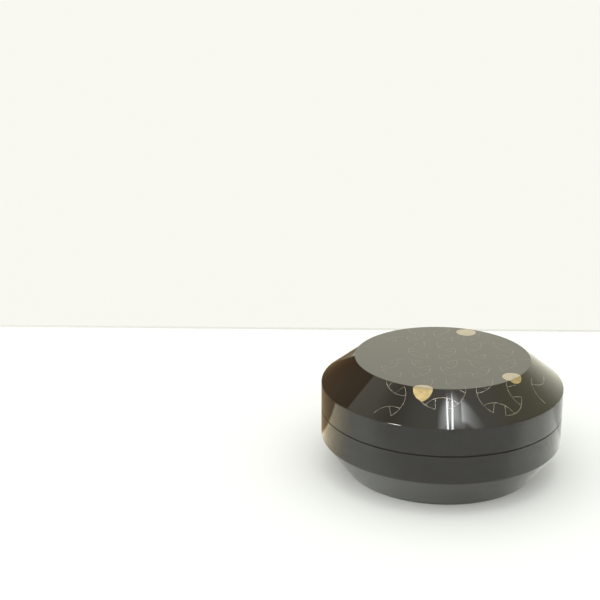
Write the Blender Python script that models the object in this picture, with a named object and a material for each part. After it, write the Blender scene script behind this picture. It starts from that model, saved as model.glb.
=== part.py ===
"""Round lidded sweets box, turned from wood and finished in polished black lacquer.

Two turned pieces. The body is a shallow bowl: a flat foot, a cone that widens upwards and a
short upright belt. The lid repeats it upside down: a flat round top, a sloping shoulder and an
upright belt of the same width. The lid sits on a narrow ledge of the body, kept in place by a
thin lip that stands up inside it. The axis is Z, and the foot stands on z = 0. Metres.
"""

import math

import bpy

# Outside sizes.
BELT_RADIUS = 0.106
TOP_RADIUS = 0.0767
FOOT_RADIUS = 0.0838
CONE_HEIGHT = 0.0298
BODY_BELT_HEIGHT = 0.0247
LID_BELT_HEIGHT = 0.0239
SHOULDER_HEIGHT = 0.0236

# Wall thicknesses, each measured square to its own wall.
SIDE_WALL = 0.0042
FLOOR_THICKNESS = 0.0050
TOP_THICKNESS = 0.0045

# Foot: a flat ring round a shallow recess, as the lathe leaves it.
FOOT_RING_WIDTH = 0.0060
FOOT_RECESS_DEPTH = 0.0012

# Seam: the standing lip of the body and the rebate of the lid that fits over it.
LIP_THICKNESS = 0.0018
LIP_HEIGHT = 0.0050
LIP_SIDE_CLEARANCE = 0.0004
LIP_TOP_CLEARANCE = 0.0008
SEAM_GAP = 0.0003

# Rounding of the edges.
TOP_EDGE_ROUND = 0.0008
SHOULDER_EDGE_ROUND = 0.0010
CONE_EDGE_ROUND = 0.0012
FOOT_EDGE_ROUND = 0.0005
SEAM_EDGE_ROUND = 0.0004
LIP_EDGE_ROUND = 0.0005
INSIDE_CORNER_ROUND = 0.0040

TURNED_SIDES = 80
FINE_ROUND_STEPS = 2
WIDE_ROUND_STEPS = 3
MERGE_DISTANCE = 0.00001

# Heights that follow from the sizes above.
CONE_TOP = CONE_HEIGHT
SEAM_HEIGHT = CONE_TOP + BODY_BELT_HEIGHT
SHOULDER_BOTTOM = SEAM_HEIGHT + LID_BELT_HEIGHT
TOP_HEIGHT = SHOULDER_BOTTOM + SHOULDER_HEIGHT


def clear_scene():
    for item in list(bpy.data.objects):
        bpy.data.objects.remove(item, do_unlink=True)


def lacquer(name, colour, roughness):
    """A plain polished lacquer: a dark colour under a clear, hard gloss."""
    material = bpy.data.materials.new(name)
    material.use_nodes = True
    shader = material.node_tree.nodes["Principled BSDF"]
    shader.inputs["Base Color"].default_value = (*colour, 1.0)
    shader.inputs["Roughness"].default_value = roughness
    shader.inputs["Metallic"].default_value = 0.0
    return material


def moved_inwards(start, end, thickness):
    """The line from start to end, as a point and a direction, moved to its right by thickness."""
    length = math.dist(start, end)
    along = ((end[0] - start[0]) / length, (end[1] - start[1]) / length)
    point = (start[0] + along[1] * thickness, start[1] - along[0] * thickness)
    return point, along


def crossing(first, second):
    """The point where two lines, each a point and a direction, cross."""
    (x1, z1), (dx1, dz1) = first
    (x2, z2), (dx2, dz2) = second
    share = ((x2 - x1) * dz2 - (z2 - z1) * dx2) / (dx1 * dz2 - dz1 * dx2)
    return x1 + dx1 * share, z1 + dz1 * share


def rounded(before, corner, after, radius, steps):
    """Points of the arc of this radius that rounds a corner, limited by the sides that meet there."""
    back = (before[0] - corner[0], before[1] - corner[1])
    ahead = (after[0] - corner[0], after[1] - corner[1])
    back_length = math.hypot(*back)
    ahead_length = math.hypot(*ahead)
    back = (back[0] / back_length, back[1] / back_length)
    ahead = (ahead[0] / ahead_length, ahead[1] / ahead_length)
    half_angle = math.acos(back[0] * ahead[0] + back[1] * ahead[1]) / 2
    longest_cut = 0.45 * min(back_length, ahead_length)
    radius = min(radius, longest_cut * math.tan(half_angle))
    cut = radius / math.tan(half_angle)
    middle = (back[0] + ahead[0], back[1] + ahead[1])
    middle_length = math.hypot(*middle)
    to_centre = radius / math.sin(half_angle) / middle_length
    centre = (corner[0] + middle[0] * to_centre, corner[1] + middle[1] * to_centre)
    first = (corner[0] + back[0] * cut, corner[1] + back[1] * cut)
    last = (corner[0] + ahead[0] * cut, corner[1] + ahead[1] * cut)
    start = math.atan2(first[1] - centre[1], first[0] - centre[0])
    end = math.atan2(last[1] - centre[1], last[0] - centre[0])
    turn = math.remainder(end - start, math.tau)
    angles = [start + turn * step / steps for step in range(steps + 1)]
    return [(centre[0] + radius * math.cos(a), centre[1] + radius * math.sin(a)) for a in angles]


def profile(corners):
    """An outline from corners given as (radius, height, rounding, steps); no rounding keeps them sharp."""
    points = []
    for index, (x, z, radius, steps) in enumerate(corners):
        if radius == 0:
            points.append((x, z))
            continue
        before = corners[index - 1][:2]
        after = corners[index + 1][:2]
        points += rounded(before, (x, z), after, radius, steps)
    return points


def turned(name, corners, material):
    """A solid of revolution about Z, from an outline that starts and ends on the axis."""
    points = profile(corners)
    mesh = bpy.data.meshes.new(name)
    edges = [(index, index + 1) for index in range(len(points) - 1)]
    mesh.from_pydata([(x, 0.0, z) for x, z in points], edges, [])
    mesh.materials.append(material)
    piece = bpy.data.objects.new(name, mesh)
    bpy.context.scene.collection.objects.link(piece)
    spin = piece.modifiers.new("turning", "SCREW")
    spin.axis = "Z"
    spin.angle = math.tau
    spin.screw_offset = 0.0
    spin.steps = TURNED_SIDES
    spin.render_steps = TURNED_SIDES
    spin.use_merge_vertices = True
    spin.merge_threshold = MERGE_DISTANCE
    spin.use_smooth_shade = True
    return piece


def box_body(material):
    """The bowl, its outline drawn from the middle of the floor, over the lip and down to the foot."""
    ledge = SEAM_HEIGHT - SEAM_GAP / 2
    floor = FOOT_RECESS_DEPTH + FLOOR_THICKNESS
    inner_wall = BELT_RADIUS - SIDE_WALL
    inner_cone = moved_inwards((BELT_RADIUS, CONE_TOP), (FOOT_RADIUS, 0.0), SIDE_WALL)
    floor_corner = crossing(inner_cone, ((0.0, floor), (1.0, 0.0)))
    belt_corner = crossing(inner_cone, ((inner_wall, 0.0), (0.0, 1.0)))
    lip_outside = inner_wall + LIP_THICKNESS
    lip_top = ledge + LIP_HEIGHT
    ring_inside = FOOT_RADIUS - FOOT_RING_WIDTH
    corners = [
        (0.0, floor, 0, 0),
        (*floor_corner, INSIDE_CORNER_ROUND, WIDE_ROUND_STEPS),
        (*belt_corner, INSIDE_CORNER_ROUND, FINE_ROUND_STEPS),
        (inner_wall, lip_top, LIP_EDGE_ROUND, FINE_ROUND_STEPS),
        (lip_outside, lip_top, LIP_EDGE_ROUND, FINE_ROUND_STEPS),
        (lip_outside, ledge, 0, 0),
        (BELT_RADIUS, ledge, SEAM_EDGE_ROUND, FINE_ROUND_STEPS),
        (BELT_RADIUS, CONE_TOP, CONE_EDGE_ROUND, FINE_ROUND_STEPS),
        (FOOT_RADIUS, 0.0, FOOT_EDGE_ROUND, FINE_ROUND_STEPS),
        (ring_inside, 0.0, 0, 0),
        (ring_inside, FOOT_RECESS_DEPTH, 0, 0),
        (0.0, FOOT_RECESS_DEPTH, 0, 0),
    ]
    return turned("box_body", corners, material)


def lid(material):
    """The lid, its outline drawn from the middle of the top, down the outside and back inside."""
    rim = SEAM_HEIGHT + SEAM_GAP / 2
    ceiling = TOP_HEIGHT - TOP_THICKNESS
    inner_wall = BELT_RADIUS - SIDE_WALL
    inner_shoulder = moved_inwards((TOP_RADIUS, TOP_HEIGHT), (BELT_RADIUS, SHOULDER_BOTTOM), SIDE_WALL)
    ceiling_corner = crossing(inner_shoulder, ((0.0, ceiling), (1.0, 0.0)))
    belt_corner = crossing(inner_shoulder, ((inner_wall, 0.0), (0.0, 1.0)))
    rebate_radius = inner_wall + LIP_THICKNESS + LIP_SIDE_CLEARANCE
    rebate_top = SEAM_HEIGHT - SEAM_GAP / 2 + LIP_HEIGHT + LIP_TOP_CLEARANCE
    corners = [
        (0.0, TOP_HEIGHT, 0, 0),
        (TOP_RADIUS, TOP_HEIGHT, TOP_EDGE_ROUND, FINE_ROUND_STEPS),
        (BELT_RADIUS, SHOULDER_BOTTOM, SHOULDER_EDGE_ROUND, FINE_ROUND_STEPS),
        (BELT_RADIUS, rim, SEAM_EDGE_ROUND, FINE_ROUND_STEPS),
        (rebate_radius, rim, 0, 0),
        (rebate_radius, rebate_top, 0, 0),
        (inner_wall, rebate_top, 0, 0),
        (*belt_corner, INSIDE_CORNER_ROUND, FINE_ROUND_STEPS),
        (*ceiling_corner, INSIDE_CORNER_ROUND, WIDE_ROUND_STEPS),
        (0.0, ceiling, 0, 0),
    ]
    return turned("lid", corners, material)


def main():
    clear_scene()
    black = lacquer("black_lacquer", colour=(0.012, 0.011, 0.008), roughness=0.06)
    box_body(black)
    lid(black)


main()
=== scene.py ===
# %% [markdown]
# A round box for sweets.
# The real box is turned from wood in two pieces, a shallow body and a lid that lifts off. Both are
# covered in black lacquer and polished to a mirror. Over the lid runs a traditional pattern of
# linked rings, drawn in gold powder, with three solid gold shapes among the lines.
# This lesson loads the plain solid model as a fixed frame, turns a finer lid and body over it, mixes
# the lacquer and the gold, draws the pattern flat, lays it over the lid, and lights the box.

import math

import bmesh
import bpy
from mathutils import Matrix, Vector, noise


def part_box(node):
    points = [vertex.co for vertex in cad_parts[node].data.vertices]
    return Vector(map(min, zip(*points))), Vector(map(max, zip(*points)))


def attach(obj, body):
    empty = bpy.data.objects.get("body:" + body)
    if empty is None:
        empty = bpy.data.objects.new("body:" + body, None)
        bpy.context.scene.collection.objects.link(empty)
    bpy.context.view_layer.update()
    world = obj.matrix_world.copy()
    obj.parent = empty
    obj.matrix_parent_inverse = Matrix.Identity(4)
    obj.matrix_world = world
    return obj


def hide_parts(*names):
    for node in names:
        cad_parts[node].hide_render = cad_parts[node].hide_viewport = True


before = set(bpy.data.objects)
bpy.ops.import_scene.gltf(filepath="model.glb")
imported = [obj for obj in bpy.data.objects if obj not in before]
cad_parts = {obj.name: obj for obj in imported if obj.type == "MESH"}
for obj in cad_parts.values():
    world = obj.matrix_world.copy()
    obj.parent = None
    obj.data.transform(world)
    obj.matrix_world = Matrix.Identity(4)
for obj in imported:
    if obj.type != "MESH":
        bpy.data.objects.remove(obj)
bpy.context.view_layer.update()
body_low, body_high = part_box("box_body")
lid_low, lid_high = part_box("lid")
print("The frame holds", sorted(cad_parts))

# %% [markdown]
# A turner works from a few sizes. Those that the solid model shows are read from it: the radius of
# the belt, the top, the rim of the lid and the top of the lip that stands inside the seam. The other
# sizes are the turner's own, written once in millimetres. The gold lies a hair above the lacquer,
# so the lacquer's flat top is that hair lower than the highest point of the box.

# %% Sizes of the box
MM = 0.001
BELT_RADIUS = lid_high.x
BOX_TOP = lid_high.z
RIM_HEIGHT = lid_low.z
LIP_TOP = body_high.z
GOLD_RISE = 0.02 * MM
TOP_RADIUS = 76.7 * MM
FOOT_RADIUS = 83.8 * MM
CONE_HEIGHT = 29.8 * MM
SHOULDER_DROP = 23.6 * MM
SIDE_WALL = 4.2 * MM
FLOOR_THICKNESS = 5.0 * MM
TOP_THICKNESS = 4.5 * MM
FOOT_RING_WIDTH = 6.0 * MM
FOOT_RECESS_DEPTH = 1.2 * MM
LIP_THICKNESS = 1.8 * MM
LIP_HEIGHT = 5.0 * MM
LIP_SIDE_CLEARANCE = 0.4 * MM
LIP_TOP_CLEARANCE = 0.8 * MM
LACQUER_TOP = BOX_TOP - GOLD_RISE
SHOULDER_BOTTOM = BOX_TOP - SHOULDER_DROP
SHOULDER_ANGLE = math.atan2(LACQUER_TOP - SHOULDER_BOTTOM, BELT_RADIUS - TOP_RADIUS)
print(f"Box {2 * BELT_RADIUS / MM:.1f} mm across and {BOX_TOP / MM:.1f} mm high")

# %% [markdown]
# On a lathe, a turned shape is its outline carried once round the axis. A spin would do that here,
# but building it ring by ring keeps every edge in view: a small disc is the start, its rim is
# extruded, and the new ring is moved and resized to the next corner of the outline. Close to each
# corner a support ring holds the flat faces flat, so that the mirror stays true up to the edge.
# When the last ring comes back to the axis, it is filled, and the piece is one closed skin.

# %% Turn a piece ring by ring
SIDES = 256
FIRST_RING = 6.0 * MM
SUPPORT = 0.15 * MM
NEAR = 0.01 * MM


def pick_ring(piece, radius, height):
    """In edit mode, selects the ring of edges at this radius and height."""
    bpy.ops.mesh.select_mode(type="EDGE")
    bpy.ops.mesh.select_all(action="DESELECT")
    mesh = bmesh.from_edit_mesh(piece.data)
    for edge in mesh.edges:
        places = [(math.hypot(v.co.x, v.co.y) - radius, v.co.z - height) for v in edge.verts]
        edge.select_set(all(math.hypot(*place) < NEAR for place in places))
    bmesh.update_edit_mesh(piece.data)


def next_ring(before, after):
    """Extrudes the selected ring and takes the new one from one (radius, height) to the next."""
    rise = after[1] - before[1]
    grow = after[0] / before[0]
    bpy.ops.mesh.extrude_region_move(TRANSFORM_OT_translate={"value": (0.0, 0.0, rise)})
    bpy.ops.transform.resize(value=(grow, grow, 1.0), center_override=(0.0, 0.0, after[1]))


def step(start, end, length):
    """The point this far from start on the way to end."""
    share = length / math.dist(start, end)
    return (start[0] + (end[0] - start[0]) * share, start[1] + (end[1] - start[1]) * share)


def round_cut(before, corner, after, rounding):
    """How far from a corner its rounding begins, from the turn of the outline there."""
    way_in = math.atan2(corner[1] - before[1], corner[0] - before[0])
    way_out = math.atan2(after[1] - corner[1], after[0] - corner[0])
    turn = abs(math.remainder(way_out - way_in, math.tau))
    return rounding * math.tan(turn / 2)


# %% [markdown]
# With those moves in hand, one function turns any piece from its list of corners. Each corner is a
# radius, a height and the radius of its rounding. After the rings are in place, the edge at every
# corner is bevelled in a few steps, which rounds it as sandpaper and lacquer would.

# %% Turn a whole piece from its corners
ROUND_STEPS = 6
SMOOTH_ANGLE = math.radians(30)


def turned(name, corners):
    """A closed turned piece, its outline given from the axis, round the outside and back to the axis."""
    rings = [(FIRST_RING, corners[0][1])]
    cuts = []
    for index in range(1, len(corners) - 1):
        before, corner, after = (corners[index + shift][:2] for shift in (-1, 0, 1))
        cut = round_cut(before, corner, after, corners[index][2])
        cuts.append((corner, cut))
        rings += [step(corner, before, cut + SUPPORT), corner, step(corner, after, cut + SUPPORT)]
    rings.append((FIRST_RING, corners[-1][1]))
    bpy.ops.object.select_all(action="DESELECT")
    bpy.ops.mesh.primitive_circle_add(
        vertices=SIDES, radius=FIRST_RING, fill_type="TRIFAN", location=(0.0, 0.0, rings[0][1])
    )
    piece = bpy.context.object
    piece.name = piece.data.name = name
    bpy.ops.object.transform_apply()
    bpy.ops.object.mode_set(mode="EDIT")
    pick_ring(piece, *rings[0])
    for before, after in zip(rings, rings[1:]):
        next_ring(before, after)
    bpy.ops.mesh.edge_face_add()
    bpy.ops.mesh.poke()
    for corner, cut in cuts:
        pick_ring(piece, *corner)
        bpy.ops.mesh.bevel(offset=cut, segments=ROUND_STEPS, profile=0.5, affect="EDGES")
    bpy.ops.mesh.select_all(action="SELECT")
    bpy.ops.mesh.normals_make_consistent(inside=False)
    bpy.ops.object.mode_set(mode="OBJECT")
    bpy.ops.object.shade_smooth_by_angle(angle=SMOOTH_ANGLE)
    print(f"{name}: {len(rings)} rings, {len(piece.data.polygons)} faces")
    return piece


# %% [markdown]
# Walls of even thickness need care where they slant: the inner face of a sloping wall lies further
# in than the wall is thick, because the thickness is measured square to the slope. Two small
# functions give the inner face's radius at a height, and its height at a radius.

# %% Inner faces of the slanted walls


def inner_radius(outer_a, outer_b, height):
    """Radius of the inner face at this height, for a slanted wall through two outer points."""
    run, rise = outer_b[0] - outer_a[0], outer_b[1] - outer_a[1]
    across = SIDE_WALL * math.hypot(run, rise) / abs(rise)
    return outer_a[0] + run * (height - outer_a[1]) / rise - across


def inner_height(outer_a, outer_b, radius):
    """Height at which that inner face reaches this radius."""
    run, rise = outer_b[0] - outer_a[0], outer_b[1] - outer_a[1]
    across = SIDE_WALL * math.hypot(run, rise) / abs(rise)
    return outer_a[1] + rise * (radius + across - outer_a[0]) / run


# %% [markdown]
# The lid is a flat round top, a straight sloping shoulder and an upright belt. Its edges are crisp,
# but never knife-sharp: lacquer pulls back from a sharp edge, so each one is rounded by about a
# millimetre. Inside, the rim is cut back in a rebate that fits round the lip of the body.

# %% Turn the lid
TOP_EDGE = 0.8 * MM
SHOULDER_EDGE = 1.0 * MM
SEAM_EDGE = 0.4 * MM
SMALL_EDGE = 0.15 * MM
INSIDE_CORNER = 4.0 * MM

inner_wall = BELT_RADIUS - SIDE_WALL
shoulder = ((TOP_RADIUS, LACQUER_TOP), (BELT_RADIUS, SHOULDER_BOTTOM))
ceiling = LACQUER_TOP - TOP_THICKNESS
rebate_radius = inner_wall + LIP_THICKNESS + LIP_SIDE_CLEARANCE
rebate_top = LIP_TOP + LIP_TOP_CLEARANCE
lid = turned("lid_lacquered", [
    (0.0, LACQUER_TOP, 0.0),
    (*shoulder[0], TOP_EDGE),
    (*shoulder[1], SHOULDER_EDGE),
    (BELT_RADIUS, RIM_HEIGHT, SEAM_EDGE),
    (rebate_radius, RIM_HEIGHT, SMALL_EDGE),
    (rebate_radius, rebate_top, SMALL_EDGE),
    (inner_wall, rebate_top, SMALL_EDGE),
    (inner_wall, inner_height(*shoulder, inner_wall), INSIDE_CORNER),
    (inner_radius(*shoulder, ceiling), ceiling, INSIDE_CORNER),
    (0.0, ceiling, 0.0),
])
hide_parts("lid")
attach(lid, "root")

# %% [markdown]
# The body repeats the lid upside down: an upright belt over a cone that narrows to the foot. A thin
# lip stands inside its edge and keeps the lid in place, and the ledge outside the lip carries it.
# Underneath, the foot is a flat ring round a shallow recess.

# %% Turn the body
CONE_EDGE = 1.2 * MM
FOOT_EDGE = 0.5 * MM
LIP_EDGE = 0.5 * MM

ledge = LIP_TOP - LIP_HEIGHT
cone = ((FOOT_RADIUS, body_low.z), (BELT_RADIUS, CONE_HEIGHT))
floor_top = FOOT_RECESS_DEPTH + FLOOR_THICKNESS
foot_inside = FOOT_RADIUS - FOOT_RING_WIDTH
body = turned("body_lacquered", [
    (0.0, floor_top, 0.0),
    (inner_radius(*cone, floor_top), floor_top, INSIDE_CORNER),
    (inner_wall, inner_height(*cone, inner_wall), INSIDE_CORNER),
    (inner_wall, LIP_TOP, LIP_EDGE),
    (inner_wall + LIP_THICKNESS, LIP_TOP, LIP_EDGE),
    (inner_wall + LIP_THICKNESS, ledge, SMALL_EDGE),
    (BELT_RADIUS, ledge, SEAM_EDGE),
    (*cone[1], CONE_EDGE),
    (*cone[0], FOOT_EDGE),
    (foot_inside, body_low.z, SMALL_EDGE),
    (foot_inside, FOOT_RECESS_DEPTH, SMALL_EDGE),
    (0.0, FOOT_RECESS_DEPTH, 0.0),
])
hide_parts("box_body")
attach(body, "root")

# %% [markdown]
# A finish is a network of nodes. Six short helpers keep the network readable. They start a material,
# add a node with its settings, make cloudy noise of a given size, stretch a value to another range,
# mix two colours, and read a height as a bump. All noise lies on the object's own coordinates, so it
# stays on the piece wherever the camera stands.

# %% Helpers for the finishes


def new_finish(name):
    """A new material, and its main shader."""
    finish = bpy.data.materials.new(name)
    finish.use_nodes = True
    return finish, finish.node_tree.nodes["Principled BSDF"]


def add(finish, kind, inputs=(), **settings):
    """A new node in the finish, with its settings, and with its inputs set or linked by name."""
    node = finish.node_tree.nodes.new(kind)
    for key, value in settings.items():
        setattr(node, key, value)
    for key, value in dict(inputs).items():
        if isinstance(value, bpy.types.NodeSocket):
            finish.node_tree.links.new(value, node.inputs[key])
        else:
            node.inputs[key].default_value = value
    return node


def cloud(finish, place, size, detail=2.0):
    """Noise whose blots are about this size in metres, from 0 to 1."""
    node = add(finish, "ShaderNodeTexNoise", {"Vector": place, "Scale": 1 / size, "Detail": detail})
    return node.outputs["Fac"]


def spread(finish, value, low, high, to_low=0.0, to_high=1.0, curve="LINEAR"):
    """Stretches a value from one range to another and holds it there."""
    inputs = {"Value": value, "From Min": low, "From Max": high, "To Min": to_low, "To Max": to_high}
    return add(finish, "ShaderNodeMapRange", inputs, interpolation_type=curve).outputs["Result"]


def mixed(finish, share, first, second):
    """A colour between two others."""
    node = add(finish, "ShaderNodeMix", data_type="RGBA")
    finish.node_tree.links.new(share, node.inputs[0])
    for socket, colour in ((node.inputs[6], first), (node.inputs[7], second)):
        if isinstance(colour, bpy.types.NodeSocket):
            finish.node_tree.links.new(colour, socket)
        else:
            socket.default_value = (*colour, 1.0)
    return node.outputs[2]


def bumped(finish, height, depth, under=None):
    """A normal that reads this height, depth metres from lowest to highest, over another bump."""
    inputs = {"Height": height, "Strength": 1.0, "Distance": depth}
    if under is not None:
        inputs["Normal"] = under
    return add(finish, "ShaderNodeBump", inputs).outputs["Normal"]


# %% [markdown]
# Lacquer is nearly black all through, under a hard gloss. What makes it look real is small: broad
# waves from the wood below that bend reflections a little, a fine haze of wiping marks that run
# round with the turning, and a trace of warm brown where the coat is thin along the worn edges.
# The index of refraction is that of tree lacquer, close to glass.

# %% Mix the black lacquer
LACQUER_BLACK = (0.011, 0.0100, 0.0080)
LACQUER_CLOUD = (0.015, 0.0135, 0.0110)
THIN_BROWN = (0.020, 0.013, 0.009)
LACQUER_IOR = 1.50
CLOUD_SIZE = 30 * MM
WORN_WIDTH, WORN_CORE = 0.9 * MM, 0.18 * MM
PATCH_SIZE, PATCH_RANGE = 9 * MM, (0.45, 0.75)
WORN_EDGES = (
    (TOP_RADIUS, LACQUER_TOP),
    (BELT_RADIUS, SHOULDER_BOTTOM),
    (BELT_RADIUS, RIM_HEIGHT),
    (BELT_RADIUS, ledge),
    (BELT_RADIUS, CONE_HEIGHT),
    (FOOT_RADIUS, 0.0),
)

lacquer, shader = new_finish("polished_black_lacquer")
place = add(lacquer, "ShaderNodeTexCoord").outputs["Object"]
axes = add(lacquer, "ShaderNodeSeparateXYZ", {"Vector": place}).outputs
flat_place = add(lacquer, "ShaderNodeCombineXYZ", {"X": axes["X"], "Y": axes["Y"]}).outputs["Vector"]
from_axis = add(lacquer, "ShaderNodeVectorMath", {0: flat_place}, operation="LENGTH").outputs["Value"]
outline_place = add(lacquer, "ShaderNodeCombineXYZ", {"X": from_axis, "Y": axes["Z"]}).outputs["Vector"]
worn = None
for edge in WORN_EDGES:
    away = add(lacquer, "ShaderNodeVectorMath", {0: outline_place, 1: (*edge, 0.0)}, operation="DISTANCE")
    closeness = spread(lacquer, away.outputs["Value"], WORN_WIDTH, WORN_CORE)
    if worn is None:
        worn = closeness
    else:
        worn = add(lacquer, "ShaderNodeMath", {0: worn, 1: closeness}, operation="MAXIMUM").outputs[0]
patchy = spread(lacquer, cloud(lacquer, place, PATCH_SIZE, detail=4.0), *PATCH_RANGE)
worn = add(lacquer, "ShaderNodeMath", {0: worn, 1: patchy}, operation="MULTIPLY").outputs[0]
clouded = mixed(lacquer, cloud(lacquer, place, CLOUD_SIZE), LACQUER_BLACK, LACQUER_CLOUD)
lacquer.node_tree.links.new(mixed(lacquer, worn, clouded, THIN_BROWN), shader.inputs["Base Color"])
print("Lacquer colour: black, clouded, brown at", len(WORN_EDGES), "worn edges")

# %% [markdown]
# The gloss gets its own detail. Wiping marks are very long and thin, so their noise is squeezed
# across the marks: it reads the distance from the axis at a fine scale and everything else at a
# coarse one. They and the haze change the roughness, and three layers of bump bend the mirror.
# In the groove of the seam the gloss is turned down almost to nothing, a painted shade that keeps the line
# dark.

# %% Give the lacquer its gloss
GLOSS = 0.025
GLOSS_HAZE = 0.050
HAZE_SIZE = 22 * MM
DULL_RANGE = (0.1, 0.45)
WAVE_SIZE, WAVE_DEPTH = 55 * MM, 0.035 * MM
RIPPLE_SIZE, RIPPLE_DEPTH = 9 * MM, 0.0009 * MM
MARK_SIZE, MARK_DEPTH = 0.35 * MM, 0.00002 * MM
MARK_SQUEEZE = (0.05, 0.05, 1.0)
SEAM_MIDDLE = (RIM_HEIGHT + ledge) / 2
SEAM_SHADE_REACH, SEAM_SHADE_CORE = 0.75 * MM, 0.3 * MM
SHINE, SEAM_SHADE_SHINE = 0.5, 0.01

squeezed = add(lacquer, "ShaderNodeVectorMath", {0: flat_place, 1: MARK_SQUEEZE}, operation="MULTIPLY")
axis_place = add(lacquer, "ShaderNodeCombineXYZ", {"Z": from_axis}).outputs["Vector"]
mark_place = add(lacquer, "ShaderNodeVectorMath", {0: squeezed.outputs[0], 1: axis_place}, operation="ADD")
marks = cloud(lacquer, mark_place.outputs[0], MARK_SIZE, detail=3.0)
haze = cloud(lacquer, place, HAZE_SIZE, detail=5.0)
dull = add(lacquer, "ShaderNodeMath", {0: marks, 1: haze}, operation="MULTIPLY").outputs[0]
roughness = spread(lacquer, dull, *DULL_RANGE, GLOSS, GLOSS_HAZE)
lacquer.node_tree.links.new(roughness, shader.inputs["Roughness"])
normal = bumped(lacquer, cloud(lacquer, place, WAVE_SIZE, detail=0.0), WAVE_DEPTH)
normal = bumped(lacquer, cloud(lacquer, place, RIPPLE_SIZE, detail=1.0), RIPPLE_DEPTH, under=normal)
normal = bumped(lacquer, marks, MARK_DEPTH, under=normal)
lacquer.node_tree.links.new(normal, shader.inputs["Normal"])
# Painted shade in the seam: close to the groove the gloss fades out, so the line stays dark.
from_seam = add(lacquer, "ShaderNodeMath", {0: axes["Z"], 1: SEAM_MIDDLE}, operation="SUBTRACT")
from_seam = add(lacquer, "ShaderNodeMath", {0: from_seam.outputs[0]}, operation="ABSOLUTE").outputs[0]
shine = spread(lacquer, from_seam, SEAM_SHADE_CORE, SEAM_SHADE_REACH, SEAM_SHADE_SHINE, SHINE)
lacquer.node_tree.links.new(shine, shader.inputs["Specular IOR Level"])
shader.inputs["IOR"].default_value = LACQUER_IOR
for piece in (lid, body):
    piece.data.materials.append(lacquer)
print("Lacquer gloss: roughness from", GLOSS, "to", GLOSS_HAZE)

# %% [markdown]
# The gold is powder, sprinkled into a wet drawing and polished under a last clear coat. Each grain
# is about a tenth of a millimetre, and between the grains the black ground shows. The solid shapes
# are packed with warm gold. The lines carry a paler and much thinner dusting, so from a step away
# they read as soft grey gold. Both finishes share one recipe: noise as fine as the grains is cut
# off at a threshold, and the cut decides between metal and lacquer. On the flat top, which hands and
# cloths touch most, the gold is rubbed thinner and paler than on the shoulder. The clear coat mirrors
# the room as the black does, which is why the gold on the top also looks milky. The gloss is all the
# coat's: the ground between the grains has none of its own.

# %% Mix the gold powder
WARM_GOLD = (0.51, 0.405, 0.20)
DEEP_GOLD = (0.40, 0.31, 0.145)
RUBBED_WARM = (0.31, 0.25, 0.16)
PALE_GOLD = (0.72, 0.68, 0.59)
WORN_GOLD = (0.55, 0.51, 0.43)
RUBBED_PALE = (0.17, 0.16, 0.13)
SHAPE_ROUGHNESS = (0.48, 0.36)
LINE_ROUGHNESS = (0.36, 0.25)
GRAIN_SIZE, GRAIN_DEPTH = 0.13 * MM, 0.010 * MM
GRAIN_RANGE = (0.3, 0.7)
DRIFT_SIZE, DRIFT_WEIGHT = 5.0 * MM, 0.25
DRIFT_RANGE = (0.35, 0.65)
RUB_DROP = 1.2 * MM
COAT_ROUGHNESS = 0.07


def gold_powder(name, colours, bare, packed, roughness, left):
    """A powder finish: grains begin at the noise value bare and are certain at packed, and this
    share of them is left on the flat top."""
    bright, deep, rubbed = colours
    gold, shader = new_finish(name)
    place = add(gold, "ShaderNodeTexCoord").outputs["Object"]
    grains = cloud(gold, place, GRAIN_SIZE)
    drifts = cloud(gold, place, DRIFT_SIZE, detail=3.0)
    drifted = add(gold, "ShaderNodeMath", {0: drifts, 1: -0.5}, operation="ADD").outputs[0]
    dusted = add(gold, "ShaderNodeMath", {0: drifted, 1: DRIFT_WEIGHT, 2: grains}, operation="MULTIPLY_ADD")
    height = add(gold, "ShaderNodeSeparateXYZ", {"Vector": place}).outputs["Z"]
    kept = spread(gold, height, LACQUER_TOP - RUB_DROP, LACQUER_TOP, 1.0, left)
    covered = spread(gold, dusted.outputs[0], bare, packed)
    covered = add(gold, "ShaderNodeMath", {0: covered, 1: kept}, operation="MULTIPLY").outputs[0]
    metal = mixed(gold, spread(gold, drifts, *DRIFT_RANGE), deep, bright)
    metal = mixed(gold, spread(gold, height, LACQUER_TOP - RUB_DROP, LACQUER_TOP), metal, rubbed)
    gold.node_tree.links.new(mixed(gold, covered, LACQUER_BLACK, metal), shader.inputs["Base Color"])
    gold.node_tree.links.new(covered, shader.inputs["Metallic"])
    gold.node_tree.links.new(spread(gold, grains, *GRAIN_RANGE, *roughness), shader.inputs["Roughness"])
    gold.node_tree.links.new(bumped(gold, grains, GRAIN_DEPTH), shader.inputs["Normal"])
    shader.inputs["Specular IOR Level"].default_value = 0.0
    shader.inputs["Coat Weight"].default_value = 1.0
    shader.inputs["Coat Roughness"].default_value = COAT_ROUGHNESS
    shader.inputs["Coat IOR"].default_value = LACQUER_IOR
    print(f"{name}: grains of {GRAIN_SIZE / MM} mm")
    return gold


packed_gold = gold_powder(
    "packed_gold_powder", (WARM_GOLD, DEEP_GOLD, RUBBED_WARM),
    bare=0.28, packed=0.42, roughness=SHAPE_ROUGHNESS, left=0.98,
)
dusted_gold = gold_powder(
    "dusted_gold_powder", (PALE_GOLD, WORN_GOLD, RUBBED_PALE),
    bare=0.48, packed=0.60, roughness=LINE_ROUGHNESS, left=0.8,
)

# %% [markdown]
# The pattern is a traditional one of linked rings. Its unit is a ring broken by three gaps. Through
# each gap curves an arc of the neighbour's ring, and two short strokes join the ends of the gap to
# that arc. The units stand in a triangular grid, so the arcs of three neighbours close around the
# space between them. Everything is drawn flat first, as on a paper pattern, with the middle of the
# lid at the origin and the side that faces the viewer towards -Y.

# %% Flat lines: an arc and a stroke
LINE_WIDTH = 0.55 * MM
LONG_EDGE = 1.5 * LINE_WIDTH
ARC_SIDES = 240
STROKE_CUTS = 15


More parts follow.
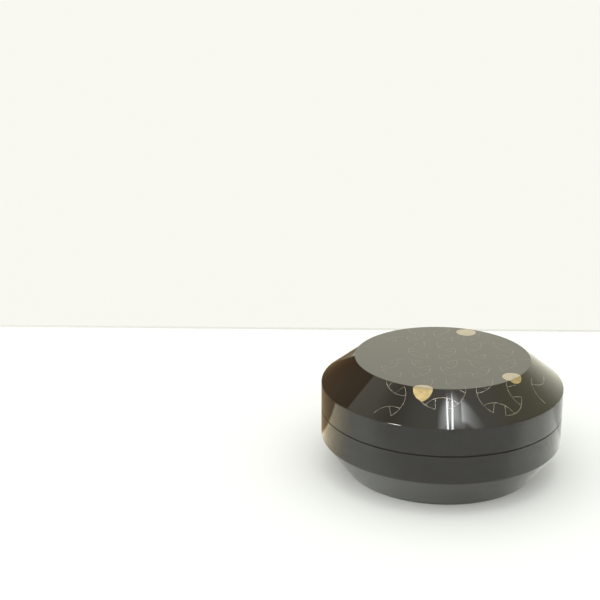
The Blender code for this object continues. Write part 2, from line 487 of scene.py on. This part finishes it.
def flat_arc(centre, radius, start, end):
    """A flat line along a circle, from one angle to another in degrees."""
    bpy.ops.object.select_all(action="DESELECT")
    inner = radius - LINE_WIDTH / 2
    bpy.ops.mesh.primitive_circle_add(
        vertices=ARC_SIDES, radius=inner, fill_type="NOTHING", location=(*centre, 0.0)
    )
    arc = bpy.context.object
    bpy.ops.object.transform_apply()
    bpy.ops.object.mode_set(mode="EDIT")
    bpy.ops.mesh.select_mode(type="EDGE")
    bpy.ops.mesh.select_all(action="SELECT")
    bpy.ops.mesh.extrude_region_move()
    grow = (inner + LINE_WIDTH) / inner
    bpy.ops.transform.resize(value=(grow, grow, 1.0), center_override=(*centre, 0.0))
    bpy.ops.mesh.select_mode(type="FACE")
    bpy.ops.mesh.select_all(action="DESELECT")
    mesh = bmesh.from_edit_mesh(arc.data)
    for face in mesh.faces:
        middle = face.calc_center_median()
        angle = math.degrees(math.atan2(middle.y - centre[1], middle.x - centre[0]))
        face.select_set((angle - start) % 360 > end - start)
    bmesh.update_edit_mesh(arc.data)
    bpy.ops.mesh.delete(type="FACE")
    bpy.ops.object.mode_set(mode="OBJECT")
    return arc


def flat_stroke(start, end):
    """A flat straight line between two points, cut across so that it can bend later."""
    bpy.ops.object.select_all(action="DESELECT")
    middle = ((start[0] + end[0]) / 2, (start[1] + end[1]) / 2, 0.0)
    angle = math.atan2(end[1] - start[1], end[0] - start[0])
    bpy.ops.mesh.primitive_plane_add(size=1.0, location=middle, rotation=(0.0, 0.0, angle))
    stroke = bpy.context.object
    stroke.scale = (math.dist(start, end) + LINE_WIDTH / 2, LINE_WIDTH, 1.0)
    bpy.ops.object.transform_apply()
    bpy.ops.object.mode_set(mode="EDIT")
    bpy.ops.mesh.select_mode(type="EDGE")
    bpy.ops.mesh.select_all(action="DESELECT")
    mesh = bmesh.from_edit_mesh(stroke.data)
    for edge in mesh.edges:
        edge.select_set(edge.calc_length() > LONG_EDGE)
    bmesh.update_edit_mesh(stroke.data)
    bpy.ops.mesh.subdivide(number_cuts=STROKE_CUTS)
    bpy.ops.object.mode_set(mode="OBJECT")
    return stroke


# %% [markdown]
# Only one third of the unit is drawn: the stretch of ring between two gaps, and the lower gap with
# its arc and strokes. The height of the flat lines differs by a few thousandths of a millimetre
# from kind to kind, so that where two of them cross, one simply covers the other.

# %% One third of a ring
RING_RADIUS = 20.8 * MM
ARC_RADIUS = 20.0 * MM
HOLE_DISTANCE = 29.7 * MM
HALF_GAP = 16.0
STROKE_PINCH = 0.85
LAYER = 0.003 * MM


def joined(name, pieces):
    """One object from several."""
    bpy.ops.object.select_all(action="DESELECT")
    for piece in pieces:
        piece.select_set(True)
    bpy.context.view_layer.objects.active = pieces[0]
    bpy.ops.object.join()
    pieces[0].name = pieces[0].data.name = name
    return pieces[0]


def sunk(piece, layers):
    """Lowers a flat piece by a few layers."""
    piece.location.z -= layers * LAYER
    bpy.ops.object.select_all(action="DESELECT")
    piece.select_set(True)
    bpy.context.view_layer.objects.active = piece
    bpy.ops.object.transform_apply()
    return piece


ring_third = sunk(flat_arc((0.0, 0.0), RING_RADIUS, -90 + HALF_GAP, 30 - HALF_GAP), 1)
hole = (0.0, -HOLE_DISTANCE)
meeting = (HOLE_DISTANCE ** 2 + ARC_RADIUS ** 2 - RING_RADIUS ** 2) / (2 * HOLE_DISTANCE)
half_arc = math.degrees(math.acos(meeting / ARC_RADIUS))


def gap_piece(name, arc_share, sides):
    """The arc in the lower gap, its left part as long as this share of the right one, and strokes."""
    parts = [sunk(flat_arc(hole, ARC_RADIUS, 90 - half_arc, 90 + arc_share * half_arc), 2)]
    for side in sides:
        offset = side * RING_RADIUS * math.sin(math.radians(HALF_GAP))
        outer_end = (offset, -RING_RADIUS * math.cos(math.radians(HALF_GAP)))
        pinched = offset * STROKE_PINCH
        inner_end = (pinched, hole[1] + math.sqrt(ARC_RADIUS ** 2 - pinched ** 2))
        parts.append(sunk(flat_stroke(outer_end, inner_end), 3))
    return joined(name, parts)


gap_third = gap_piece("gap_third", arc_share=1.0, sides=(-1, 1))
worn_gap = gap_piece("worn_gap", arc_share=0.6, sides=(1,))
print(f"The arc in a gap spans {2 * half_arc:.0f} degrees")

# %% [markdown]
# The grid places the units. It is turned a little, because the maker's hand was not quite square to
# the front, and four units slipped by a millimetre or two. The pattern does not cover the whole lid:
# it thins out to the left, where the last unit of the front row is drawn only on its right side and
# is partly worn away. On the right, two gaps of the outermost unit stay open, and one loose arc
# closes the end.

# %% Place the units on the grid
FRONT_UNIT = Vector((-11.3, -72.5, 0.0)) * MM
GRID_TURN = -2.5
GRID_SPACING = 50.5 * MM
WHOLE_UNITS = ((0, 0), (1, 0), (-1, 1), (0, 1), (1, 1), (-1, 2), (0, 2), (-2, 3), (-1, 3))
HALF_UNIT = (-1, 0)
OPEN_GAPS = ((1, 1, 0), (1, 1, 120))
HAND_SLIPS = {(-1, 0): (1.6, -1.0), (0, 0): (1.1, -1.7), (1, 0): (0.9, -0.8), (1, 1): (0.6, 2.0)}
LOOSE_ARC_CENTRE = (92.0 * MM, -47.0 * MM)
LOOSE_ARC_ANGLES = (168, 252)


def grid_place(column, row):
    """Where a unit of the grid stands on the flat pattern."""
    turn = Matrix.Rotation(math.radians(GRID_TURN), 3, "Z")
    along = turn @ Vector((GRID_SPACING, 0.0, 0.0))
    up = turn @ Vector((GRID_SPACING / 2, GRID_SPACING * math.sqrt(3) / 2, 0.0))
    slip = Vector((*HAND_SLIPS.get((column, row), (0.0, 0.0)), 0.0)) * MM
    return FRONT_UNIT + along * column + up * row + slip


def placed_copy(source, centre, turn):
    """A copy of a flat piece with its own mesh, turned about the unit's middle and put in its place."""
    copy = bpy.data.objects.new(source.name, source.data.copy())
    bpy.context.scene.collection.objects.link(copy)
    turning = Matrix.Rotation(math.radians(turn + GRID_TURN), 4, "Z")
    copy.data.transform(Matrix.Translation(centre) @ turning)
    return copy


flat_lines = []
for cell in WHOLE_UNITS:
    for turn in (0, 120, 240):
        flat_lines.append(placed_copy(ring_third, grid_place(*cell), turn))
        if (*cell, turn) not in OPEN_GAPS:
            flat_lines.append(placed_copy(gap_third, grid_place(*cell), turn))
flat_lines.append(placed_copy(ring_third, grid_place(*HALF_UNIT), 0))
flat_lines.append(placed_copy(gap_third, grid_place(*HALF_UNIT), 120))
flat_lines.append(placed_copy(worn_gap, grid_place(*HALF_UNIT), 0))
flat_lines.append(flat_arc(LOOSE_ARC_CENTRE, ARC_RADIUS, *LOOSE_ARC_ANGLES))
for source in (ring_third, gap_third, worn_gap):
    bpy.data.objects.remove(source, do_unlink=True)
gold_lines = joined("gold_lines", flat_lines)
print("Units drawn:", len(WHOLE_UNITS), "whole and one half, faces:", len(gold_lines.data.polygons))

# %% [markdown]
# Three solid shapes sit among the lines, each about 17 mm across. The one in front is drawn out to
# a point, the others are nearly round. Each starts as a ring that is extruded inwards to its middle,
# so that it has rows of small faces and can bend over the edge of the lid. A pull on its lowest
# point, fading with distance, draws out the tip.

# %% Solid shapes
SHAPE_SIDES = 96
SHAPE_RINGS = 20
TIP_SPREAD = 1.25
SHAPES = (
    # centre, half width and half height, turn in degrees, length of the tip
    ((-24.9, -73.9), (8.3, 7.7), -10, 4.0),
    ((53.0, -50.4), (8.3, 9.2), 8, 0.0),
    ((28.8, 60.5), (8.9, 8.7), -10, 0.0),
)


def solid_shape(centre, half_width, half_height, turn, tip):
    """A flat rounded shape with a tip below, in rings of small faces."""
    bpy.ops.object.select_all(action="DESELECT")
    bpy.ops.mesh.primitive_circle_add(vertices=SHAPE_SIDES, radius=1.0, fill_type="NOTHING")
    shape = bpy.context.object
    bpy.ops.object.mode_set(mode="EDIT")
    bpy.ops.mesh.select_mode(type="EDGE")
    bpy.ops.mesh.select_all(action="SELECT")
    for ring in range(1, SHAPE_RINGS):
        bpy.ops.mesh.extrude_region_move()
        shrink = (SHAPE_RINGS - ring) / (SHAPE_RINGS - ring + 1)
        bpy.ops.transform.resize(value=(shrink, shrink, 1.0), center_override=(0.0, 0.0, 0.0))
    bpy.ops.mesh.edge_face_add()
    bpy.ops.mesh.poke()
    bpy.ops.mesh.select_mode(type="VERT")
    bpy.ops.mesh.select_all(action="DESELECT")
    mesh = bmesh.from_edit_mesh(shape.data)
    lowest = min(mesh.verts, key=lambda vertex: vertex.co.y)
    lowest.select_set(True)
    bmesh.update_edit_mesh(shape.data)
    bpy.ops.transform.translate(
        value=(0.0, -tip * MM / half_height, 0.0), use_proportional_edit=True,
        proportional_edit_falloff="LINEAR", proportional_size=TIP_SPREAD, use_proportional_connected=False,
    )
    bpy.ops.object.mode_set(mode="OBJECT")
    shape.scale = (half_width, half_height, 1.0)
    shape.rotation_euler.z = math.radians(turn)
    shape.location = (*centre, 0.0)
    bpy.ops.object.transform_apply()
    return shape


flat_shapes = []
for centre, halves, turn, tip in SHAPES:
    place = [value * MM for value in centre]
    flat_shapes.append(solid_shape(place, halves[0] * MM, halves[1] * MM, turn, tip))
gold_shapes = joined("gold_shapes", flat_shapes)
print("Solid shapes:", len(SHAPES), "faces:", len(gold_shapes.data.polygons))

# %% [markdown]
# Now the paper pattern is laid over the lid. A point keeps its direction from the middle, and its
# distance is measured along the surface: over the flat top, round the small rounding of the edge,
# and down the shoulder. The faces near the edge are first cut small, so that they can follow the
# rounding, and whatever reaches into the bare band at the shoulder's lower edge is taken away. A
# drawn line is never perfect: a slow and a quick tremble move each point by a tenth of a millimetre
# or two. Left alone, the noise behind them would follow the clock, so its seed is set, and each run
# draws the same lines.

# %% Lay the drawing over the lid
EDGE_REACH = 0.9 * MM
EDGE_CUTS = 3
BARE_BAND = 1.6 * MM
SHOULDER_STOP = TOP_RADIUS + (BELT_RADIUS - TOP_RADIUS) / math.cos(SHOULDER_ANGLE) - BARE_BAND
TREMBLES = ((9.0 * MM, 0.22 * MM), (1.6 * MM, 0.05 * MM))
TREMBLE_SEED = 7
FILM = 0.05 * MM
edge_cut = TOP_EDGE * math.tan(SHOULDER_ANGLE / 2)


def surface_at(distance):
    """The lid's outline at this distance from its middle: radius, height and the way out, as an angle."""
    past = distance - TOP_RADIUS
    if past < -edge_cut:
        return distance, LACQUER_TOP, 0.0
    if past > edge_cut:
        radius = TOP_RADIUS + past * math.cos(SHOULDER_ANGLE)
        return radius, LACQUER_TOP - past * math.sin(SHOULDER_ANGLE), SHOULDER_ANGLE
    angle = SHOULDER_ANGLE * (past + edge_cut) / (2 * edge_cut)
    radius = TOP_RADIUS - edge_cut + TOP_EDGE * math.sin(angle)
    return radius, LACQUER_TOP - TOP_EDGE + TOP_EDGE * math.cos(angle), angle


def laid(piece):
    """Bends a flat piece over the lid, with its own height above the surface kept."""
    for vertex in piece.data.vertices:
        point = vertex.co.copy()
        for size, reach in TREMBLES:
            shift = noise.noise_vector(Vector((vertex.co.x, vertex.co.y, 0.0)) / size) * reach
            point += Vector((shift.x, shift.y, 0.0))
        distance = math.hypot(point.x, point.y)
        radius, height, angle = surface_at(distance)
        lift = GOLD_RISE + vertex.co.z
        radius += lift * math.sin(angle)
        height += lift * math.cos(angle)
        vertex.co = (point.x / distance * radius, point.y / distance * radius, height)


def faces_where(piece, test):
    """In edit mode, selects the faces whose middle passes the test."""
    bpy.ops.mesh.select_mode(type="FACE")
    bpy.ops.mesh.select_all(action="DESELECT")
    mesh = bmesh.from_edit_mesh(piece.data)
    for face in mesh.faces:
        face.select_set(test(face))
    bmesh.update_edit_mesh(piece.data)


def past_shoulder(face):
    """Whether a flat face reaches into the bare band at the shoulder's lower edge."""
    return max(math.hypot(v.co.x, v.co.y) for v in face.verts) > SHOULDER_STOP


def near_edge(face):
    """Whether a flat face lies on the rounded edge of the top."""
    middle = face.calc_center_median()
    return abs(math.hypot(middle.x, middle.y) - TOP_RADIUS) < EDGE_REACH


noise.seed_set(TREMBLE_SEED)
for piece, finish in ((gold_lines, dusted_gold), (gold_shapes, packed_gold)):
    bpy.ops.object.select_all(action="DESELECT")
    piece.select_set(True)
    bpy.context.view_layer.objects.active = piece
    bpy.ops.object.mode_set(mode="EDIT")
    faces_where(piece, past_shoulder)
    bpy.ops.mesh.delete(type="FACE")
    faces_where(piece, near_edge)
    bpy.ops.mesh.subdivide(number_cuts=EDGE_CUTS)
    faces_where(piece, lambda face: face.normal.z < 0)
    bpy.ops.mesh.flip_normals()
    bpy.ops.object.mode_set(mode="OBJECT")
    laid(piece)
    film = piece.modifiers.new("film", "SOLIDIFY")
    film.thickness = FILM
    film.offset = -1.0
    bpy.ops.object.modifier_apply(modifier="film")
    bpy.ops.object.shade_smooth_by_angle(angle=SMOOTH_ANGLE)
    piece.data.materials.append(finish)
    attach(piece, "root")
    print(f"{piece.name}: {len(piece.data.polygons)} faces after the film")

# %% [markdown]
# The box stands on a plain white table top with a pale wall behind it. The table is one large board.
# A thin grey strip along its far edge is painted shade: the faint dark line where table and wall
# meet. Both are dull, so that the table lights the box from below without mirroring it. The table
# stands a little askew to the camera. With no window open, the rotate operator turns the other way,
# so here it is clockwise.

# %% The white table
TABLE_BACK = 0.3499
TABLE_TURN = math.radians(3)
TABLE_FRONT = -3.0
TABLE_HALF_WIDTH = 3.0
TABLE_THICKNESS = 0.03
TABLE_EDGE = 0.3 * MM
TABLE_WHITE = (0.865, 0.88, 0.86)
SHADOW_LINE_TOP = 0.0014
SHADOW_LINE_DEPTH = 0.003
SHADOW_LINE_GREY = (0.66, 0.66, 0.62)


def dull_finish(name, colour, dimmest, blot, roughness, shine):
    """A dull finish that drifts between its colour and this share of it, in blots of this size."""
    finish, shader = new_finish(name)
    place = add(finish, "ShaderNodeTexCoord").outputs["Object"]
    tone = cloud(finish, place, blot, detail=3.0)
    darker = tuple(dimmest * value for value in colour)
    finish.node_tree.links.new(mixed(finish, tone, darker, colour), shader.inputs["Base Color"])
    shader.inputs["Roughness"].default_value = roughness
    shader.inputs["Specular IOR Level"].default_value = shine
    return finish


def plank(name, front, back, bottom, top):
    """A straight board from front to back, turned with the table about the middle of its far edge."""
    bpy.ops.object.select_all(action="DESELECT")
    bpy.ops.mesh.primitive_cube_add(size=1.0, location=(0.0, (front + back) / 2, (bottom + top) / 2))
    board = bpy.context.object
    board.name = name
    board.scale = (2 * TABLE_HALF_WIDTH, back - front, top - bottom)
    bpy.ops.object.transform_apply()
    bpy.ops.transform.rotate(value=TABLE_TURN, orient_axis="Z", center_override=(0.0, TABLE_BACK, 0.0))
    bpy.ops.object.transform_apply()
    return board


table = plank("table_top", TABLE_FRONT, TABLE_BACK, -TABLE_THICKNESS, 0.0)
bpy.ops.object.mode_set(mode="EDIT")
bpy.ops.mesh.select_all(action="SELECT")
bpy.ops.mesh.bevel(offset=TABLE_EDGE, segments=2, affect="EDGES")
bpy.ops.object.mode_set(mode="OBJECT")
white = dull_finish("white_board", TABLE_WHITE, dimmest=0.985, blot=0.5, roughness=0.7, shine=0.1)
table.data.materials.append(white)

# A thin grey strip along the far edge is painted shade: the dark line where the table meets the wall.
shadow_line_strip = plank("painted_shadow_line", TABLE_BACK, TABLE_BACK + SHADOW_LINE_DEPTH, 0.0, SHADOW_LINE_TOP)
shadow_line_finish = dull_finish("painted_shadow_grey", SHADOW_LINE_GREY, dimmest=0.97, blot=0.2, roughness=0.8, shine=0.5)
shadow_line_strip.data.materials.append(shadow_line_finish)
print("Table edge", TABLE_BACK, "m behind the box")

# %% [markdown]
# A mirror-black object shows its surroundings more than itself, so the light is built from the
# surroundings. The world is a pale room: warm white walls, brighter behind the box where the flat
# top mirrors them, and a dimmer ceiling that the front of the shoulder mirrors. Each zone is a
# round soft patch round one direction, found with a dot product and faded with a Map Range node.
# Seen straight by the camera, the room is one even pale wall.

# %% The room as soft zones of light
WALL = (1.02, 0.97, 0.76)
SEEN_WALL = (0.945, 0.945, 0.885)
LOW_LIGHT = (1.74, 1.74, 1.71)
HIGH_LIGHT = (1.15, 1.15, 1.12)
HIGH_FROM = 0.8
BRIGHT_SIDE = (-145, 0)
LEAN = 0.22
ZONES = (
    # azimuth from +Y towards +X, elevation, full inside, gone outside, colour
    (9, 18, 13, 46, (1.47, 1.44, 1.18)),
    (78, 42, 8, 40, (0.88, 0.84, 0.56)),
    (-100, 78, 10, 30, (0.50, 0.46, 0.37)),
    (150, 75, 12, 38, (1.00, 0.98, 0.86)),
)


def toward(azimuth, elevation):
    """A direction: azimuth 0 is +Y and 90 is +X, elevation is above the horizon, in degrees."""
    a, e = math.radians(azimuth), math.radians(elevation)
    return (math.sin(a) * math.cos(e), math.cos(a) * math.cos(e), math.sin(e))


room = bpy.data.worlds.new("pale_room")
bpy.context.scene.world = room
room.use_nodes = True
backdrop = room.node_tree.nodes["Background"]
direction = add(room, "ShaderNodeTexCoord").outputs["Generated"]
light = add(room, "ShaderNodeRGB")
light.outputs[0].default_value = (*WALL, 1.0)
colour = light.outputs[0]
for azimuth, elevation, inner, outer, zone_colour in ZONES:
    facing = add(room, "ShaderNodeVectorMath", {0: direction, 1: toward(azimuth, elevation)},
                 operation="DOT_PRODUCT")
    gone, full = math.cos(math.radians(outer)), math.cos(math.radians(inner))
    share = spread(room, facing.outputs["Value"], gone, full, curve="SMOOTHSTEP")
    colour = mixed(room, share, colour, zone_colour)
rise = add(room, "ShaderNodeSeparateXYZ", {"Vector": direction}).outputs["Z"]
soft_light = mixed(room, spread(room, rise, 0.0, HIGH_FROM), LOW_LIGHT, HIGH_LIGHT)
facing = add(room, "ShaderNodeVectorMath", {0: direction, 1: toward(*BRIGHT_SIDE)}, operation="DOT_PRODUCT")
lean = spread(room, facing.outputs["Value"], -1.0, 1.0, 1 - LEAN, 1 + LEAN)
soft_light = add(room, "ShaderNodeVectorMath", {0: soft_light, "Scale": lean}, operation="SCALE").outputs[0]
rays = add(room, "ShaderNodeLightPath").outputs
colour = mixed(room, rays["Is Diffuse Ray"], colour, soft_light)
colour = mixed(room, rays["Is Camera Ray"], colour, SEEN_WALL)
room.node_tree.links.new(colour, backdrop.inputs["Color"])
print("Room of", len(ZONES), "zones")

# %% [markdown]
# Over the table hangs a lamp with two long tubes. The shoulder mirrors them as two thin streaks.
# Around them a soft box glows and fades to both sides, and a second one to its right gives the
# sheen with the crisp upright edge. The soft boxes are boards that glow: their light fades towards
# the sides by their own coordinates, and where it is faded the board is clear.

# %% Helpers for glowing boards


def bare_finish(name):
    """A new material without its main shader, and the socket that takes another one."""
    finish, shader = new_finish(name)
    finish.node_tree.nodes.remove(shader)
    return finish, finish.node_tree.nodes["Material Output"].inputs["Surface"]


def glow_board(
    name, corners, height, colour, fades,
    curve="LINEAR", fall=1.0, turn=0.0, slant=0.0, tint=(1.0, 1.0, 1.0), margin=0.0,
):
    """A level board that glows between its corners, fading to -X, +X, -Y and +Y over these widths in
    metres, and is clear in the margin round them."""
    (x0, y0), (x1, y1) = corners
    bpy.ops.object.select_all(action="DESELECT")
    bpy.ops.mesh.primitive_plane_add(size=1.0, location=((x0 + x1) / 2, (y0 + y1) / 2, height))
    glowing = bpy.context.object
    glowing.name = name
    glowing.scale = (x1 - x0 + 2 * margin, y1 - y0 + 2 * margin, 1.0)
    bpy.ops.object.transform_apply()
    for vertex in glowing.data.vertices:
        if vertex.co.x < (x0 + x1) / 2 and vertex.co.y > (y0 + y1) / 2:
            vertex.co.x += slant
    glowing.rotation_euler.z = turn
    finish, surface = bare_finish(name)
    place = add(finish, "ShaderNodeTexCoord").outputs["Object"]
    axes = add(finish, "ShaderNodeSeparateXYZ", {"Vector": place}).outputs
    glow = None
    sides = (("X", x0, 1), ("X", x1, -1), ("Y", y0, 1), ("Y", y1, -1))
    for (axis, edge, inwards), fade in zip(sides, fades):
        if fade == 0:
            continue
        share = spread(finish, axes[axis], edge, edge + inwards * fade, curve=curve)
        if glow is None:
            glow = share
        else:
            glow = add(finish, "ShaderNodeMath", {0: glow, 1: share}, operation="MULTIPLY").outputs[0]
    glow = add(finish, "ShaderNodeMath", {0: glow, 1: fall}, operation="POWER").outputs[0]
    emission = add(finish, "ShaderNodeEmission", {"Color": (*colour, 1.0), "Strength": glow})
    clear = add(finish, "ShaderNodeBsdfTransparent", {"Color": mixed(finish, glow, (1.0, 1.0, 1.0), tint)})
    together = add(finish, "ShaderNodeAddShader")
    finish.node_tree.links.new(emission.outputs[0], together.inputs[0])
    finish.node_tree.links.new(clear.outputs[0], together.inputs[1])
    finish.node_tree.links.new(together.outputs[0], surface)
    glowing.data.materials.append(finish)
    glowing.visible_camera = False
    return glowing


# %% [markdown]
# With these helpers, the lamp is quickly hung. The tubes are area lights, laid between two points a
# little below the boards. The right board's far corner slants, which gives the sheen its notch.

# %% Lamp above the table
LAMP_HEIGHT = 2.0
TUBES = (
    # far end and near end, each x and y
    ((0.077, -0.430), (0.098, -0.62)),
    ((0.206, -0.428), (0.130, -0.58)),
)
TUBE_WIDTH = 0.034
TUBE_GLOW = 20.5
TUBE_DROP = 0.02
COOL_WHITE = (0.96, 1.0, 1.0)
PANEL_GLOW = 6.5
PANEL_CORNERS = ((-0.145, -0.511), (0.435, -0.428))
PANEL_FADES = (0.21, 0.19, 0.025, 0.026)
PANEL_TURN = math.radians(2.5)
SHEEN_GLOW = 7.4
SHEEN_CORNERS = ((0.305, -0.5165), (1.40, -0.434))
SHEEN_FADES = (0.0, 1.05, 0.003, 0.034)
SHEEN_FALL = 6.0
SHEEN_TURN = math.radians(7)
SHEEN_SLANT = 0.070


def tube(name, far_end, near_end):
    """A long thin lamp above the table, between two points."""
    length = math.dist(far_end, near_end)
    data = bpy.data.lights.new(name, "AREA")
    data.shape = "RECTANGLE"
    data.size = TUBE_WIDTH
    data.size_y = length
    data.energy = TUBE_GLOW * math.pi * TUBE_WIDTH * length
    data.color = COOL_WHITE
    lamp = bpy.data.objects.new(name, data)
    middle = ((far_end[0] + near_end[0]) / 2, (far_end[1] + near_end[1]) / 2)
    lamp.location = (*middle, LAMP_HEIGHT - TUBE_DROP)
    lamp.rotation_euler.z = math.atan2(near_end[0] - far_end[0], far_end[1] - near_end[1])
    lamp.visible_camera = False
    bpy.context.scene.collection.objects.link(lamp)
    return lamp


for number, ends in enumerate(TUBES):
    tube(f"tube_{number + 1}", *ends)
panel = [PANEL_GLOW * value for value in COOL_WHITE]
glow_board("glow_round_tubes", PANEL_CORNERS, LAMP_HEIGHT, panel, PANEL_FADES, turn=PANEL_TURN)
sheen = [SHEEN_GLOW * value for value in COOL_WHITE]
glow_board(
    "glow_right", SHEEN_CORNERS, LAMP_HEIGHT, sheen, SHEEN_FADES,
    fall=SHEEN_FALL, turn=SHEEN_TURN, slant=SHEEN_SLANT,
)
print("Lamp", LAMP_HEIGHT, "m above the table")

# %% [markdown]
# The left flank of the box is dark and brownish. A photographer gets that with a flag, a dark card
# that stands just outside what the camera sees and shows only in the gloss. It is darkest towards its
# right edge and paler at its foot. A wing runs back from it, so that the far end of the flank stays
# brown up to its outline. The wing is no taller than the box, so the flat top never mirrors it. A
# small bright card high on the left draws the short glint on the shoulder's lower edge, in a direction
# that no flat face of the box mirrors.

# %% Cards that only the gloss sees
FLAG_LEFT, FLAG_RIGHT = -0.36, -0.095
FLAG_BACK = 0.064
FLAG_TOP = 0.256
FLAG_BROWN = (0.39, 0.25, 0.14)
FLAG_DARK = (0.22, 0.125, 0.06)
FLAG_FOOT = (0.49, 0.36, 0.21)
FLAG_DARKENS = (-0.17, -0.11)
FLAG_FOOT_FADES = (0.03, 0.09)
WING_LENGTH = 0.40
WING_TOP = BOX_TOP
WING_LEFT = -0.10
WING_BROWN = (0.34, 0.22, 0.12)
WING_PALE = (0.60, 0.52, 0.40)
WING_PALES = (0.075, 0.100)
GLINT_SPOT = Vector((-0.0505, -0.0932, 0.0784))
GLINT_DIRECTION = (-124.6, 41)
GLINT_DISTANCE = 1.6
GLINT_SIZE = (0.28, 0.28)
GLINT_WHITE = (120.0, 120.0, 117.0)


def card(name, size, place, turn, colour):
    """A flat card of plain light in its place, turned about X, Y and Z in radians."""
    bpy.ops.object.select_all(action="DESELECT")
    bpy.ops.mesh.primitive_plane_add(size=1.0)
    made = bpy.context.object
    made.name = name
    made.scale = (*size, 1.0)
    made.rotation_euler = turn
    made.location = place
    bpy.ops.object.transform_apply()
    finish, surface = bare_finish(name)
    emission = add(finish, "ShaderNodeEmission", {"Color": (*colour, 1.0)})
    finish.node_tree.links.new(emission.outputs[0], surface)
    made.data.materials.append(finish)
    return made


flag = card(
    "brown_flag", (FLAG_RIGHT - FLAG_LEFT, FLAG_TOP),
    ((FLAG_LEFT + FLAG_RIGHT) / 2, FLAG_BACK, FLAG_TOP / 2), (math.radians(90), 0.0, 0.0), FLAG_BROWN,
)
brown = flag.data.materials[0]
place = add(brown, "ShaderNodeTexCoord").outputs["Object"]
axes = add(brown, "ShaderNodeSeparateXYZ", {"Vector": place}).outputs
beside = mixed(brown, spread(brown, axes["X"], *FLAG_DARKENS), FLAG_BROWN, FLAG_DARK)
from_foot = mixed(brown, spread(brown, axes["Z"], *FLAG_FOOT_FADES), FLAG_FOOT, beside)
brown.node_tree.links.new(from_foot, brown.node_tree.nodes["Emission"].inputs["Color"])

wing = card(
    "flag_wing", (WING_TOP, WING_LENGTH), (WING_LEFT, FLAG_BACK + WING_LENGTH / 2, WING_TOP / 2),
    (0.0, math.radians(90), 0.0), WING_BROWN,
)
brown = wing.data.materials[0]
place = add(brown, "ShaderNodeTexCoord").outputs["Object"]
height = add(brown, "ShaderNodeSeparateXYZ", {"Vector": place}).outputs["Z"]
paling = mixed(brown, spread(brown, height, *WING_PALES), WING_BROWN, WING_PALE)
brown.node_tree.links.new(paling, brown.node_tree.nodes["Emission"].inputs["Color"])

away = Vector(toward(*GLINT_DIRECTION))
glint = card(
    "glint_card", GLINT_SIZE, GLINT_SPOT + GLINT_DISTANCE * away,
    (-away).to_track_quat("Z", "Y").to_euler(), GLINT_WHITE,
)
print("Cards:", flag.name, wing.name, glint.name)

# %% [markdown]
# Soft glows on the table lift the lower half of the box at its sides, and a warm one lies in front of
# the flag. They are thin flat sheets, a millimetre apart, and the warm one also takes a little blue
# out of what is seen through it. Each sheet is clear for half a metre round its glow, so that its own
# edge never shows in the lacquer. The cards and the glows are seen by nothing but mirror rays.

# %% Glows on the table
CLEAR_MARGIN = 0.5
NO_TINT = (1.0, 1.0, 1.0)
LESS_BLUE = (1.0, 0.96, 0.88)
GLOWS = {
    # corners, colour, fades, fall, tint
    "lift_left": (
        ((-0.42, -0.17), (0.070, -0.012)), (0.41, 0.43, 0.38), (0.1, 0.11, 0.06, 0.075), 1.0, NO_TINT,
    ),
    "lift_right": (
        ((-0.02, -0.17), (0.42, 0.05)), (0.58, 0.60, 0.53), (0.19, 0.1, 0.06, 0.02), 1.5, NO_TINT,
    ),
    "lift_warm": (
        ((-0.42, -0.06), (-0.09, 0.064)), (0.58, 0.43, 0.18), (0.1, 0.04, 0.08, 0.002), 1.0, LESS_BLUE,
    ),
}
HIDDEN_FROM = ("visible_camera", "visible_diffuse", "visible_shadow", "visible_transmission")

only_mirrored = [flag, wing, glint]
for layer, (name, (corners, colour, fades, fall, tint)) in enumerate(GLOWS.items(), start=1):
    only_mirrored.append(glow_board(
        name, corners, layer * MM, colour, fades,
        curve="SMOOTHSTEP", fall=fall, tint=tint, margin=CLEAR_MARGIN,
    ))
for piece in only_mirrored:
    for sight in HIDDEN_FROM:
        setattr(piece, sight, False)
print("Seen by mirror rays alone:", [piece.name for piece in only_mirrored])

# %% [markdown]
# The camera looks down on the box from the front, a little to its left, through a long lens. Its
# place and turn were worked out from the outlines of the top, the belt and the foot. The colours
# are shown as they are, with no filmic curve, so that the white of the table stays white.

# %% The camera
CAMERA_PLACE = (-0.14677, -1.14056, 0.53876)
CAMERA_YAW, CAMERA_PITCH, CAMERA_ROLL = (math.radians(angle) for angle in (1.104, 18.587, -0.147))
LENS, SENSOR = 83.68, 36.0

camera_data = bpy.data.cameras.new("camera")
camera_data.sensor_width = SENSOR
camera_data.lens = LENS
camera_data.clip_start = 0.01
camera = bpy.data.objects.new("camera", camera_data)
camera.location = CAMERA_PLACE
looking = Matrix.Rotation(-CAMERA_YAW, 3, "Z") @ Matrix.Rotation(math.radians(90) - CAMERA_PITCH, 3, "X")
camera.rotation_euler = (looking @ Matrix.Rotation(CAMERA_ROLL, 3, "Z")).to_euler()
bpy.context.scene.collection.objects.link(camera)
bpy.context.scene.camera = camera
bpy.context.scene.view_settings.view_transform = "Standard"
print("Camera at", CAMERA_PLACE, "with a", LENS, "mm lens")
